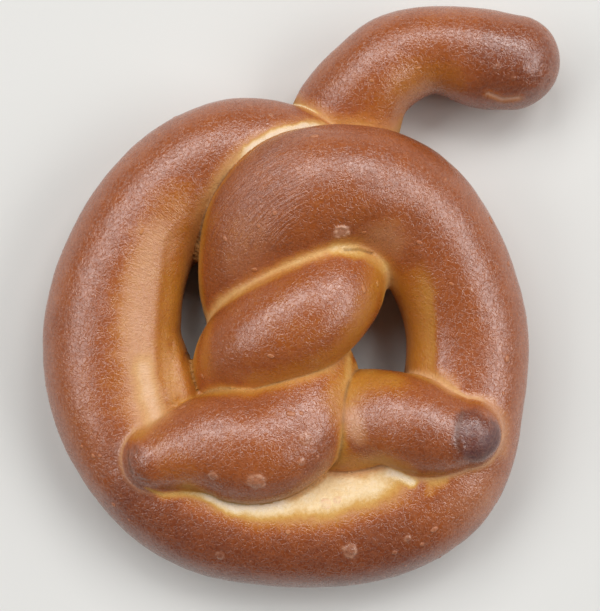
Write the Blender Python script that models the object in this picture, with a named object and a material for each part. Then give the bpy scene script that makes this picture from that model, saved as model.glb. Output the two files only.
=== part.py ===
"""A soft pretzel: a fat ring of dough, crossed and twisted in its middle, with both ends on the ring and a
curved stem tucked under the top. It lies flat. Run with blender --background --python part.py, in metres."""

import math

import bmesh
import bpy
import numpy as np

MM = 0.001

# The ring's centre line, seen from above: bearings are in degrees, anticlockwise from +X.
RING_CENTRE = (-3.5, -12.0)
RING_HEIGHT = 14.7
RING_HALF_HEIGHT = 15.2
# bearing, radius, half width
LEFT_ARM = (
    (106, 52.2, 15.6),
    (125, 52.2, 15.7),
    (150, 49.4, 17.1),
    (179, 48.3, 18.9),
    (213, 50.1, 17.9),
    (241, 51.6, 17.2),
    (270, 50.7, 16.7),
)
RIGHT_ARM = (
    (298, 53.6, 17.7),
    (319, 54.4, 18.1),
    (339, 50.5, 17.0),
    (360, 48.8, 16.7),
)

# Stations off the ring, in millimetres: x, y, height of the centre line, half width, half height.
# The left arm's end, flattened under the top crossing, listed from its hidden tip to the ring.
TOP_UNDER = (
    (16.7, 12.0, 13.0, 10.5, 9.0),
    (11.2, 24.7, 13.0, 12.4, 10.5),
    (3.4, 33.6, 15.0, 14.0, 12.0),
    (-4.8, 37.3, 15.5, 14.8, 13.0),
)
# The right arm climbs over the left one as the top lobe, and dives under the middle lobe.
TOP_LOBE = (
    (39.1, 9.1, 17.0, 16.6, 16.0),
    (26.5, 24.9, 21.0, 16.7, 16.0),
    (10.2, 28.8, 26.0, 16.6, 15.5),
    (-5.2, 20.9, 25.0, 15.4, 14.5),
    (-14.8, 9.1, 18.0, 12.5, 13.0),
    (-14.2, -5.3, 12.0, 11.6, 10.0),
    (-3.2, -13.6, 12.0, 12.1, 10.0),
)
# The left arm comes up again as the middle lobe.
MIDDLE_LOBE = (
    (5.7, 26.4, 12.0, 11.0, 10.0),
    (10.7, 9.1, 18.0, 12.5, 12.0),
    (7.6, 0.1, 25.0, 13.6, 14.0),
    (-3.0, -8.1, 27.0, 14.6, 14.0),
    (-14.6, -14.6, 22.0, 12.9, 13.0),
    (-19.1, -24.6, 13.0, 10.5, 10.0),
    (-10.9, -35.8, 11.0, 12.2, 10.0),
)
# The right arm comes up as the bottom lobe and ends on the ring's left.
LEFT_END = (
    (-3.2, -13.6, 12.0, 11.0, 10.0),
    (2.9, -21.3, 18.0, 12.5, 11.5),
    (1.2, -30.1, 23.5, 14.2, 13.0),
    (-10.5, -39.4, 27.0, 15.4, 14.0),
    (-22.1, -39.3, 27.5, 14.3, 13.5),
    (-30.7, -40.6, 28.0, 11.1, 11.0),
    (-38.1, -42.9, 28.0, 8.7, 9.0),
)
# The left arm ends on the ring's right.
RIGHT_END = (
    (-8.7, -35.7, 12.0, 12.7, 11.0),
    (5.1, -35.1, 15.0, 13.7, 12.0),
    (13.6, -33.9, 20.0, 13.8, 12.5),
    (22.2, -32.4, 25.0, 12.6, 12.0),
    (33.9, -35.6, 28.0, 12.1, 11.5),
    (43.8, -36.3, 29.0, 8.7, 9.0),
)
# The stem's root is pressed flat under the top crossing.
STEM = (
    (7.9, 37.8, 9.0, 13.9, 8.0),
    (13.2, 50.3, 11.0, 15.2, 11.0),
    (18.6, 58.8, 13.0, 13.1, 13.0),
    (25.7, 64.6, 13.0, 12.7, 13.0),
    (38.1, 67.6, 13.0, 11.8, 13.0),
    (49.7, 65.4, 13.0, 13.2, 13.0),
    (57.9, 64.2, 13.0, 12.9, 12.5),
)

# A rope's section is round above and squarer below, where the dough settled under its own weight.
UPPER_POWER = 2.0
LOWER_POWER = 2.7
SECTION_SIDES = 26
STATION_STEP = 4.4
END_RINGS = 5

# The block that cuts the underside flat, with its top at z = 0.
BASE_SLAB = (200.0, 200.0, 20.0)
SHARP_SEAM_ANGLE = 50

CRUST = (0.33, 0.115, 0.048, 1.0)
CRUST_ROUGHNESS = 0.42


def clear_scene():
    for obj in list(bpy.data.objects):
        bpy.data.objects.remove(obj)


def ring_stations(rows):
    """Stations of the ring from rows of bearing, radius and half width."""
    found = []
    for bearing, radius, half_width in rows:
        angle = math.radians(bearing)
        x = RING_CENTRE[0] + radius * math.cos(angle)
        y = RING_CENTRE[1] + radius * math.sin(angle)
        found.append((x, y, RING_HEIGHT, half_width, RING_HALF_HEIGHT))
    return tuple(found)


def spline(stations, step):
    """Rows about step apart on the natural cubic curve through the stations."""
    rows = np.array(stations, float)
    gaps = np.linalg.norm(np.diff(rows[:, :3], axis=0), axis=1)
    at = np.concatenate([[0.0], np.cumsum(gaps)])
    count = len(rows)
    system = np.eye(count)
    target = np.zeros_like(rows)
    slopes = np.diff(rows, axis=0) / gaps[:, None]
    for i in range(1, count - 1):
        system[i, i - 1 : i + 2] = gaps[i - 1], 2 * (gaps[i - 1] + gaps[i]), gaps[i]
        target[i] = 6 * (slopes[i] - slopes[i - 1])
    bend = np.linalg.solve(system, target)
    places = np.linspace(0, at[-1], max(2, round(at[-1] / step)) + 1)
    i = np.clip(np.searchsorted(at, places, side="right") - 1, 0, count - 2)
    gap = gaps[i][:, None]
    after = (places - at[i])[:, None]
    before = gap - after
    cubic = (bend[i] * before**3 + bend[i + 1] * after**3) / (6 * gap)
    line = (rows[i] / gap - bend[i] * gap / 6) * before
    return cubic + line + (rows[i + 1] / gap - bend[i + 1] * gap / 6) * after


def with_round_ends(rows):
    """The rows with a half ellipsoid of shrinking sections added at each end, and the two end points."""
    along = np.gradient(rows[:, :3], axis=0)
    along /= np.linalg.norm(along, axis=1)[:, None]
    caps = []
    tips = []
    for end, way in ((0, -1.0), (-1, 1.0)):
        x_y_z = rows[end, :3]
        reach = rows[end, 3] * way * along[end]
        tips.append(x_y_z + reach)
        cap = []
        for k in range(1, END_RINGS):
            turn = math.pi / 2 * k / END_RINGS
            cap.append([*(x_y_z + reach * math.sin(turn)), *(rows[end, 3:] * math.cos(turn))])
        caps.append(cap)
    along = np.vstack([[along[0]] * (END_RINGS - 1), along, [along[-1]] * (END_RINGS - 1)])
    return np.vstack([caps[0][::-1], rows, caps[1]]), along, tips


def section(half_width, half_height):
    """(sideways, upwards) corners of a rope's section."""
    corners = []
    for k in range(SECTION_SIDES):
        turn = 2 * math.pi * k / SECTION_SIDES
        side, rise = math.cos(turn), math.sin(turn)
        power = 2 / (UPPER_POWER if rise > 0 else LOWER_POWER)
        side = math.copysign(abs(side) ** power, side)
        rise = math.copysign(abs(rise) ** power, rise)
        corners.append((half_width * side, half_height * rise))
    return corners


def rope(name, stations):
    """A closed tube of dough through the stations."""
    rows, along, tips = with_round_ends(spline(stations, STATION_STEP))
    mesh = bmesh.new()
    rings = []
    for (x, y, z, half_width, half_height), way in zip(rows, along):
        sideways = np.cross(way, (0.0, 0.0, 1.0))
        sideways /= np.linalg.norm(sideways)
        upwards = np.cross(sideways, way)
        ring = []
        for side, rise in section(half_width, half_height):
            ring.append(mesh.verts.new((np.array((x, y, z)) + side * sideways + rise * upwards) * MM))
        rings.append(ring)
    for first, second in zip(rings, rings[1:]):
        for k in range(SECTION_SIDES):
            after = (k + 1) % SECTION_SIDES
            mesh.faces.new((first[k], first[after], second[after], second[k]))
    for ring, tip in ((rings[0], tips[0]), (rings[-1], tips[1])):
        point = mesh.verts.new(tip * MM)
        for k in range(SECTION_SIDES):
            mesh.faces.new((ring[k], ring[(k + 1) % SECTION_SIDES], point))
    bmesh.ops.recalc_face_normals(mesh, faces=mesh.faces)
    data = bpy.data.meshes.new(name)
    mesh.to_mesh(data)
    mesh.free()
    return bpy.data.objects.new(name, data)


def apply_boolean(obj, operation, solver="EXACT", **operand):
    """One Boolean on obj, applied."""
    modifier = obj.modifiers.new(operation.lower(), "BOOLEAN")
    modifier.operation = operation
    modifier.solver = solver
    for key, value in operand.items():
        setattr(modifier, key, value)
    bpy.context.view_layer.update()
    graph = bpy.context.evaluated_depsgraph_get()
    result = bpy.data.meshes.new_from_object(obj.evaluated_get(graph))
    obj.modifiers.clear()
    obj.data = result


def fuse(first, others):
    """Joins the ropes in others to first, and removes them."""
    group = bpy.data.collections.new("ropes")
    for other in others:
        group.objects.link(other)
    bpy.context.scene.collection.children.link(group)
    apply_boolean(first, "UNION", operand_type="COLLECTION", collection=group, use_self=True)
    for other in others:
        bpy.data.objects.remove(other)
    bpy.data.collections.remove(group)


def skins(mesh):
    """The mesh's separate surfaces, each as a list of its corners."""
    waiting = set(mesh.verts)
    found = []
    while waiting:
        skin = [waiting.pop()]
        for corner in skin:
            for edge in corner.link_edges:
                other = edge.other_vert(corner)
                if other in waiting:
                    waiting.remove(other)
                    skin.append(other)
        found.append(skin)
    return found


def fill_hollows(obj):
    """Keeps the outer skin alone, so that the pockets sealed between the ropes are solid dough."""
    mesh = bmesh.new()
    mesh.from_mesh(obj.data)
    for skin in sorted(skins(mesh), key=len)[:-1]:
        bmesh.ops.delete(mesh, geom=skin, context="VERTS")
    mesh.to_mesh(obj.data)
    mesh.free()


def flatten_base(obj):
    """Cuts off what reaches below z = 0."""
    mesh = bmesh.new()
    bmesh.ops.create_cube(mesh, size=1.0)
    size = np.array(BASE_SLAB) * MM
    bmesh.ops.scale(mesh, vec=size, verts=mesh.verts)
    bmesh.ops.translate(mesh, vec=(0, 0, -size[2] / 2), verts=mesh.verts)
    data = bpy.data.meshes.new("base_slab")
    mesh.to_mesh(data)
    mesh.free()
    slab = bpy.data.objects.new("base_slab", data)
    bpy.context.scene.collection.objects.link(slab)
    apply_boolean(obj, "DIFFERENCE", object=slab)
    bpy.data.objects.remove(slab)


def crust():
    material = bpy.data.materials.new("crust")
    material.use_nodes = True
    shader = material.node_tree.nodes["Principled BSDF"]
    shader.inputs["Base Color"].default_value = CRUST
    shader.inputs["Roughness"].default_value = CRUST_ROUGHNESS
    shader.inputs["Metallic"].default_value = 0.0
    return material


def build():
    clear_scene()
    main = TOP_UNDER + ring_stations(LEFT_ARM + RIGHT_ARM) + TOP_LOBE
    pretzel = rope("pretzel", main)
    bpy.context.scene.collection.objects.link(pretzel)
    others = [
        rope("middle_lobe", MIDDLE_LOBE),
        rope("left_end", LEFT_END),
        rope("right_end", RIGHT_END),
        rope("stem", STEM),
    ]
    fuse(pretzel, others)
    fill_hollows(pretzel)
    flatten_base(pretzel)
    pretzel.data.materials.clear()
    pretzel.data.materials.append(crust())
    pretzel.data.shade_smooth()
    pretzel.data.set_sharp_from_angle(angle=math.radians(SHARP_SEAM_ANGLE))


build()
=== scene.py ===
"""The looks of a soft pretzel: its ropes of dough are laid along their centre lines, pressed together where
they cross, and browned. Sizes are in millimetres until a mesh is made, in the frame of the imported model."""

import math

import bmesh
import bpy
import numpy as np
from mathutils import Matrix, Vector, noise
from mathutils.bvhtree import BVHTree


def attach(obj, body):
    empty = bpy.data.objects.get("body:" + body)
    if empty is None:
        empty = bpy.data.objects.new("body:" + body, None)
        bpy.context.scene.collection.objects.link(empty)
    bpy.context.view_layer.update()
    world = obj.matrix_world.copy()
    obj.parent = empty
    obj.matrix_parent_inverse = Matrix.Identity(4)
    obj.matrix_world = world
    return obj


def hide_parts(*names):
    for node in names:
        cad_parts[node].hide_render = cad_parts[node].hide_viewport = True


MM = 0.001
UP = np.array((0.0, 0.0, 1.0))

# The ring's centre line, seen from above: bearings are in degrees, anticlockwise from +X.
RING_CENTRE = (-3.5, -12.0)
RING_HEIGHT = 14.7
RING_HALF_HEIGHT = 15.2
# bearing, radius, half width
RING = (
    (106, 52.2, 15.6),
    (125, 52.2, 15.7),
    (150, 49.4, 17.1),
    (179, 48.3, 18.9),
    (213, 50.1, 17.9),
    (241, 51.6, 17.2),
    (270, 50.7, 16.7),
    (298, 53.6, 17.7),
    (319, 54.4, 18.1),
    (339, 50.5, 17.0),
    (360, 48.8, 16.7),
)

# Stations off the ring: x, y, height of the centre line, half width, half height.
TOP_UNDER = (
    (16.7, 12.0, 13.0, 10.5, 9.0),
    (11.2, 24.7, 13.0, 12.4, 10.5),
    (3.4, 33.6, 15.0, 14.0, 12.0),
    (-4.8, 37.3, 15.5, 14.8, 13.0),
)
TOP_LOBE = (
    (39.1, 9.1, 17.0, 16.6, 16.0),
    (26.5, 24.9, 21.0, 16.7, 16.0),
    (10.2, 28.8, 26.0, 16.6, 15.5),
    (-6.5, 22.1, 25.0, 17.2, 14.5),
    (-15.1, 9.4, 18.0, 12.9, 13.0),
    (-14.2, -5.3, 12.0, 11.6, 10.0),
    (-3.2, -13.6, 12.0, 12.1, 10.0),
)
MIDDLE_LOBE = (
    (5.7, 26.4, 12.0, 11.0, 10.0),
    (10.7, 9.1, 18.0, 12.5, 12.0),
    (7.6, 0.1, 25.0, 13.6, 14.0),
    (-3.0, -8.1, 27.0, 14.6, 14.0),
    (-14.6, -14.6, 22.0, 12.9, 13.0),
    (-19.1, -24.6, 13.0, 10.5, 10.0),
    (-10.9, -35.8, 11.0, 12.2, 10.0),
)
LEFT_END = (
    (-3.2, -13.6, 12.0, 11.0, 10.0),
    (2.9, -21.3, 18.0, 12.5, 11.5),
    (1.2, -30.1, 23.5, 14.2, 13.0),
    (-10.5, -39.4, 27.0, 15.4, 14.0),
    (-22.1, -39.3, 27.5, 14.3, 13.5),
    (-30.7, -40.6, 28.0, 11.1, 11.0),
    (-38.1, -42.9, 28.0, 8.7, 9.0),
)
RIGHT_END = (
    (-8.7, -35.7, 12.0, 12.7, 11.0),
    (5.1, -35.1, 15.0, 13.7, 12.0),
    (13.6, -33.9, 20.0, 13.8, 12.5),
    (22.2, -32.4, 25.0, 12.6, 12.0),
    (33.9, -35.6, 28.0, 12.1, 11.5),
    (43.8, -36.3, 29.0, 8.7, 9.0),
)
STEM = (
    (7.9, 37.8, 9.0, 13.9, 8.0),
    (13.2, 50.3, 11.0, 15.2, 11.0),
    (18.6, 58.8, 13.0, 13.1, 13.0),
    (25.7, 64.6, 13.0, 12.7, 13.0),
    (38.1, 67.6, 13.0, 11.8, 13.0),
    (49.7, 65.4, 13.0, 13.2, 13.0),
    (57.9, 64.2, 13.0, 12.9, 12.5),
)
# Dough squeezed between the left arm and the lobes, which closes the left hole's two ends.
UPPER_WEB = (
    (-24.8, 19.5, 8.0, 3.4, 9.0),
    (-27.4, 15.6, 6.5, 3.4, 7.0),
    (-28.5, 13.2, 6.0, 3.0, 6.0),
)
LOWER_WEB = (
    (-34.0, -15.5, 11.0, 2.0, 8.5),
    (-33.2, -19.5, 12.0, 3.9, 10.5),
    (-32.3, -24.5, 13.0, 4.5, 11.5),
    (-31.2, -30.0, 13.0, 4.6, 12.0),
)

# A rope's section is round above and squarer below.
UPPER_POWER = 2.0
LOWER_POWER = 2.7
ROPE_STEP = 1.5
ROPE_SIDES = 32
END_RINGS = 6

# How softly the dough runs from one rope to the next, and where it meets what it lies on.
SEAM_FILLET = 0.9
SOFT_FILLETS = {
    ("right_arm", "middle_lobe"): 3.2,
    ("left_arm", "upper_web"): 4.5,
    ("left_arm", "lower_web"): 4.5,
    ("ring", "lower_web"): 4.5,
    ("left_arm", "left_end"): 2.6,
    ("ring", "left_end"): 2.6,
    ("right_arm", "right_end"): 2.4,
    ("ring", "right_end"): 2.4,
    ("left_arm", "stem"): 1.4,
}
# The two ends are soft on the ring only at their tips: how far from the middle that starts, and is whole.
FUSED_FROM = 22.0
FUSED_TO = 30.0
# The ring and its arms overlap at their ends, and there an arm's own values hold.
RING_GIVES_WAY = 0.01
FLOOR_FILLET = 0.8

# The mesh's size of face, and where it is finer: how near to a seam and above what height, and round marks.
VOXEL = 1.08
SEAM_REACH = 3.2
SEAM_ABOVE = 2.0
CREASE_REACH = 1.2
CREASE_ABOVE = 10.0
MARK_REACH = 0.9
SCAR_REACH = 2.5
SETTLING_STEPS = 4
LONGEST_STEP = 1.5
# How close together places are that are put down on the skin along a line.
DROP_STEP = 2.0

# How brown the skin is on each rope: 0 is raw cream, 0.4 ochre, 0.7 chestnut, 1 nearly burnt.
BROWN = {
    "left_arm": 0.73,
    "ring": 0.73,
    "right_arm": 0.73,
    "middle_lobe": 0.70,
    "left_end": 0.72,
    "right_end": 0.70,
    "stem": 0.72,
    "upper_web": 0.60,
    "lower_web": 0.44,
}
WALL_BROWN = 0.40
DEEP_WALL_BROWN = 0.50
LOW_SIDE_BROWN = 0.55
UNDERSIDE_BROWN = 0.60
BAND_EDGE_BROWN = 0.42
BAND_BROWN = 0.12
TORN_BROWN = 0.0
SCAR_BROWN = 0.46
# A patch that is paler than this is raw dough, which isn't thin.
RAW_BROWN = 0.2

# Unevenness of the browning, of the edges between colours, and of the dough: how much, size of humps, seed.
BROWN_DRIFT = ((0.03, 14.0, 1), (0.02, 5.0, 2))
EDGE_DRIFT = ((0.22, 3.0, 13), (0.12, 1.2, 14))
DOUGH_DRIFT = ((0.22, 10.0, 8), (0.07, 3.5, 9))

# The pale band beside each seam, on the first rope's side: its width, and how brown and how thin it is there.
SEAM_BANDS = {
    ("left_arm", "right_arm"): (5.0, 0.34, 0.3),
    ("right_arm", "left_arm"): (0.9, 0.56, 0.0),
    ("right_arm", "middle_lobe"): (4.4, 0.27, 0.25),
    ("middle_lobe", "right_arm"): (4.4, 0.25, 0.25),
    ("middle_lobe", "left_end"): (2.6, 0.36, 0.1),
    ("middle_lobe", "left_arm"): (3.0, 0.36, 0.1),
    ("left_end", "middle_lobe"): (3.4, 0.33, 0.1),
    ("left_end", "ring"): (1.3, 0.50, 0.2),
    ("left_end", "left_arm"): (1.3, 0.50, 0.2),
    ("left_end", "right_end"): (3.0, 0.34, 0.1),
    ("right_end", "left_end"): (3.2, 0.38, 0.0),
    ("right_end", "ring"): (1.6, 0.42, 0.35),
    ("right_end", "right_arm"): (1.6, 0.42, 0.35),
    ("ring", "left_end"): (2.2, 0.36, 0.5),
    ("left_arm", "left_end"): (2.2, 0.36, 0.5),
    ("ring", "right_end"): (2.8, 0.30, 0.6),
    ("right_arm", "right_end"): (2.8, 0.30, 0.6),
    ("stem", "left_arm"): (4.6, 0.40, 0.2),
    ("stem", "right_arm"): (5.0, 0.38, 0.2),
    ("left_arm", "stem"): (2.2, 0.42, 0.3),
    ("right_arm", "stem"): (0.8, 0.60, 0.0),
}
OTHER_BAND = (2.0, 0.40, 0.0)

# Seams torn white: the rope that is torn, its neighbour, the stretch from left to right, and the width.
TORN = (
    ("left_arm", "right_arm", -15.5, 5.0, 2.5),
    ("stem", "left_arm", -4.0, 4.0, 1.2),
    ("ring", "left_end", -26.0, -4.0, 2.8),
)

# Where the skin is browner or paler than that, some of it painted shade and painted light: places seen from
# above, radius, soft edge, brown, share.
PATCHES = (
    # the ring's lower side, darker as painted shade
    (((-44.0, -60.0), (-20.0, -74.0), (0.0, -76.0), (24.0, -72.0)), 5.0, 14.0, 0.88, 0.8),
    # inner side of the left arm, and its seam with the left end
    (((-32.5, 21.1), (-37.8, 8.0), (-41.7, -6.5), (-42.5, -21.0), (-40.4, -28.9)), 2.0, 11.0, 0.50, 0.75),
    (((-42.0, -36.0), (-39.5, -32.5), (-35.9, -30.2)), 0.5, 4.5, 0.38, 0.6),
    # the left arm's pinker flank, seen from above at its lower left
    (((-61.0, -22.0), (-58.0, -38.0)), 2.0, 8.0, 0.66, 0.6),
    # inner side of the top lobe over the right hole, paler as painted light
    (((21.7, 14.3),), 2.0, 7.0, 0.62, 0.5),
    # the seam over the middle lobe
    (((8.8, 11.9), (16.7, 10.6), (21.4, 7.1)), 0.4, 2.6, 0.17, 0.8),
    # the middle lobe's two sides and its lower edge
    (((20.0, 3.5), (18.0, -3.0), (13.0, -12.0)), 1.0, 7.5, 0.47, 0.85),
    (((-24.5, -7.1), (-26.0, -18.9)), 0.2, 5.0, 0.50, 0.8),
    (((-12.0, -22.5), (0.0, -20.0), (8.0, -15.5)), 0.5, 5.0, 0.48, 0.7),
    # the bottom lobe's right side
    (((12.2, -18.0), (10.6, -24.0), (7.2, -32.2)), 0.3, 6.5, 0.50, 0.95),
    (((12.8, -17.0), (12.0, -24.0)), 0.2, 2.0, 0.22, 0.7),
    (((5.5, -32.0), (6.5, -38.0), (3.0, -44.5)), 0.5, 4.5, 0.78, 0.7),
    # the bottom lobe's lower face, darker as painted shade
    (((-22.0, -48.5), (-12.0, -51.5), (-3.0, -49.5)), 0.8, 4.5, 0.80, 0.8),
    # the left end and its neck
    (((-35.8, -41.9), (-30.6, -47.5)), 2.0, 6.0, 0.60, 0.4),
    (((-29.3, -50.0),), 0.5, 4.5, 0.36, 0.9),
    (((-43.0, -44.0),), 2.0, 5.0, 0.84, 0.85),
    # the right end: ochre above and below its root, nearly burnt at its tip
    (((13.4, -25.0), (16.8, -22.4), (23.0, -21.8)), 0.8, 7.0, 0.42, 0.85),
    (((10.2, -43.6), (16.0, -44.8), (22.1, -43.2), (27.0, -45.0)), 0.4, 5.0, 0.42, 0.8),
    (((33.0, -38.0), (44.0, -38.0)), 3.0, 8.0, 0.80, 0.75),
    (((44.0, -34.5), (44.4, -38.0), (48.0, -37.0)), 4.2, 2.8, 0.92, 0.9),
    (((46.0, -40.0), (50.5, -37.5)), 1.5, 4.5, 1.0, 0.7),
    # the pale band below both ends, stretched white in two places
    (((-40.2, -50.6), (-36.2, -52.5), (-29.6, -52.0), (-22.9, -52.8)), 0.0, 2.0, 0.14, 0.7),
    (((-21.0, -54.0), (-16.3, -56.0), (-10.5, -57.0), (-4.4, -56.4)), 0.0, 3.6, 0.02, 0.7),
    (((23.3, -46.8), (26.3, -47.8), (29.2, -49.3)), 0.2, 2.0, 0.0, 0.9),
    (((34.0, -49.5), (37.5, -49.0)), 0.0, 2.4, 0.16, 0.6),
    (((33.7, -51.6),), 0.3, 2.2, 0.44, 0.9),
    # the stem's end and the inner side of its bend
    (((62.3, 62.0), (56.0, 62.0)), 4.0, 17.0, 0.84, 0.9),
    (((30.0, 57.0), (36.6, 58.0), (40.0, 57.8)), 1.0, 9.5, 0.50, 0.7),
    (((24.0, 50.5), (27.0, 54.0)), 1.5, 9.0, 0.55, 0.6),
)

# Where the skin was stretched thin and peach-coloured, and where painted highlights and sheen make it paler
# and pinker: places, radius, soft edge, brown, how thin.
STRETCHED_AND_SHEEN = (
    # the left arm's inner crest: paler stretched skin, with a painted highlight on it
    (((-42.5, -6.0), (-41.6, -16.0), (-40.6, -24.0), (-39.6, -31.0)), 0.3, 9.0, 0.47, 0.5),
    (((-41.6, -19.0), (-40.4, -26.0), (-38.6, -32.0)), 0.0, 5.0, 0.20, 0.75),
    (((-38.5, 14.0), (-41.5, 4.0), (-42.5, -6.0)), 0.5, 8.0, 0.50, 0.42),
    # a painted highlight at the right end's left side
    (((13.4, -32.0), (14.2, -36.0)), 0.0, 4.6, 0.52, 0.5),
    # painted sheen on the top lobe's inner side over the right hole
    (((21.5, 14.5),), 1.0, 8.0, 0.62, 0.28),
    # painted sheen on the top lobe's lower left
    (((-16.0, 9.0), (-13.0, 15.0)), 2.0, 7.0, 0.70, 0.14),
    # painted sheen on the ring's lower right
    (((47.0, -54.0),), 3.0, 10.0, 0.70, 0.14),
    (((36.5, -22.0), (39.5, -24.5)), 0.2, 3.5, 0.44, 0.5),
    (((49.5, -29.0), (53.5, -34.0), (53.5, -41.0)), 0.2, 4.0, 0.58, 0.3),
)

# Seams pressed shut in a groove, with painted shade along it: the two ropes, its stretch from left to right,
# and its depth.
CREASES = (
    ("middle_lobe", "left_end", -28.0, 12.0, 0.32),
    ("ring", "left_end", -29.0, 20.0, 0.45),
    ("left_end", "right_end", -10.0, 20.0, 0.45),
    ("ring", "right_end", -10.0, 24.0, 0.50),
    ("left_arm", "right_arm", -32.0, -19.0, 0.30),
    ("upper_web", "right_arm", -40.0, -20.0, 0.35),
    ("lower_web", "middle_lobe", -40.0, -20.0, 0.45),
)
CREASE_HALF_WIDTH = 0.5
CREASE_SHADE_HALF_WIDTH = 0.42

# Blisters, seen from above: x, y, radius, height of the dome, height of the rim, how thin the skin is.
BLISTERS = (
    (10.2, 16.2, 2.2, 0.22, 0.36, 1.3),
    (-11.4, -47.8, 2.5, 0.44, 0.14, 0.7),
    (-22.7, -46.3, 1.3, 0.28, 0.10, 0.7),
    (0.9, -36.6, 1.8, 0.32, 0.10, 0.4),
    (0.1, -42.9, 1.1, 0.26, 0.06, 0.7),
    (12.8, -67.3, 2.0, 0.42, 0.12, 0.6),
    (28.0, -63.9, 1.0, 0.30, 0.06, 0.6),
    (6.5, -55.0, 1.5, 0.34, 0.18, 0.8),
    (9.4, -54.0, 1.1, 0.36, 0.10, 0.9),
    (-21.5, -68.6, 1.3, 0.22, 0.05, 0.35),
    (-8.1, 47.9, 0.6, 0.16, 0.03, 0.5),
    (52.0, 60.5, 1.1, 0.26, 0.04, 0.3),
    (56.5, 58.0, 0.7, 0.18, 0.02, 0.25),
    (-13.5, 50.5, 0.5, 0.12, 0.02, 0.5),
    (44.0, 1.5, 0.6, 0.14, 0.02, 0.3),
    (-47.0, -10.5, 0.7, 0.16, 0.02, 0.4),
)

# The edge where the ring's left arm turns in towards the left hole, and the edge of the right hole's wall.
LEFT_SHOULDER = ((-30.8, 22.0), (-36.4, 14.6), (-37.6, 1.4), (-39.0, -11.9), (-38.2, -22.0), (-34.6, -30.5))
RIGHT_SHOULDER = ((27.0, 14.5), (32.5, 9.0), (35.0, 0.8), (35.6, -10.0), (35.6, -19.2), (40.0, -23.5))

# Where the pale band under the two ends turns brown again.
BAND_EDGE = ((-36.0, -51.4), (-26.8, -55.0), (-13.6, -58.8), (7.5, -59.4), (20.7, -55.3), (33.9, -50.9))

# Creases, grooved and darkened with painted shade: places seen from above, depth, half width.
FOLDS = (
    (((-45.4, -40.8), (-44.9, -43.2), (-44.0, -46.2)), 0.34, 0.5),
    (((-43.0, -39.4), (-42.4, -41.6)), 0.14, 0.4),
    (((-42.5, -47.6), (-39.4, -48.2)), 0.14, 0.4),
    (((41.6, -30.4), (40.2, -33.4), (39.7, -37.0), (40.3, -40.4)), 0.20, 0.7),
    (((11.3, 11.8), (15.0, 11.9), (18.6, 10.9)), 0.40, 0.35),
)
SCAR = ((50.5, 54.2), (54.5, 52.9), (58.7, 53.2))
SCAR_DEPTH = 0.22
SCAR_HALF_WIDTH = 0.6

# Tips that dried in fine wrinkles: x, y, reach.
DRY_TIPS = ((45.8, -36.9, 7.0), (-43.6, -44.0, 4.0), (64.0, 60.0, 9.0))
WRINKLE_HEIGHT = 0.15

# Sets each rope's grain apart from the next one's.
ROPES_APART = 7.0

# The camera looks straight down on the middle of the photograph.
CAMERA_PLACE = (-0.4, -2.7, 380.0)
CAMERA_LENS = 78.6

# Soft panels aimed at the pretzel: bearing from +X, lean off straight up, distance, width, height, power.
PANELS = {
    "key": (55, 38, 3.0, 1.4, 1.3, 33.0),
    "right_window": (359, 50, 3.0, 2.4, 1.4, 41.5),
    "top_window": (123, 37, 3.0, 1.9, 1.5, 37.5),
    "left_window": (179, 46, 3.0, 2.2, 1.3, 27.0),
}
ROOM_LIGHT = 0.035
FLOOR_HALF_SIZE = 12.0
FLOOR_COLOUR = (0.74, 0.735, 0.71, 1.0)
FLOOR_ROUGHNESS = 0.8


def unit(vectors):
    return vectors / np.linalg.norm(vectors, axis=-1, keepdims=True)


def dot(first, second):
    return np.einsum("ij,ij->i", first, second)


def smooth(low, high, values):
    """0 at low, 1 at high, and a soft step between."""
    t = np.clip((values - low) / (high - low), 0, 1)
    return t * t * (3 - 2 * t)


def blend(first, second, share):
    return first + (second - first) * share


def hump(values, half_width):
    """1 at 0, and a soft fall to 0 on both sides."""
    return np.exp(-((values / half_width) ** 2))


def ripple(points, size, seed):
    """Smooth unevenness between about -1 and 1, with humps about size apart."""
    shift = Vector((seed * 17.3, seed * 5.9, seed * 11.1))
    return np.array([noise.noise(Vector(p) / size + shift) for p in points])


def drift(points, rows):
    """Ripples added up, from rows of how much, size and seed."""
    return sum(much * ripple(points, size, seed) for much, size, seed in rows)


def ring_stations():
    found = []
    for bearing, radius, half_width in RING:
        angle = math.radians(bearing)
        x = RING_CENTRE[0] + radius * math.cos(angle)
        y = RING_CENTRE[1] + radius * math.sin(angle)
        found.append((x, y, RING_HEIGHT, half_width, RING_HALF_HEIGHT))
    return tuple(found)


def spline(stations, step):
    """Rows about step apart on the natural cubic curve through the stations, and each station's row."""
    rows = np.array(stations, float)
    gaps = np.linalg.norm(np.diff(rows[:, :3], axis=0), axis=1)
    at = np.concatenate([[0.0], np.cumsum(gaps)])
    count = len(rows)
    system = np.eye(count)
    target = np.zeros_like(rows)
    slopes = np.diff(rows, axis=0) / gaps[:, None]
    for i in range(1, count - 1):
        system[i, i - 1 : i + 2] = gaps[i - 1], 2 * (gaps[i - 1] + gaps[i]), gaps[i]
        target[i] = 6 * (slopes[i] - slopes[i - 1])
    bend = np.linalg.solve(system, target)
    places = np.linspace(0, at[-1], round(at[-1] / step) + 1)
    i = np.clip(np.searchsorted(at, places, side="right") - 1, 0, count - 2)
    gap = gaps[i][:, None]
    after = (places - at[i])[:, None]
    before = gap - after
    curve = (bend[i] * before**3 + bend[i + 1] * after**3) / (6 * gap)
    curve += (rows[i] / gap - bend[i] * gap / 6) * before
    curve += (rows[i + 1] / gap - bend[i + 1] * gap / 6) * after
    return curve, np.searchsorted(places, at)


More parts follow.
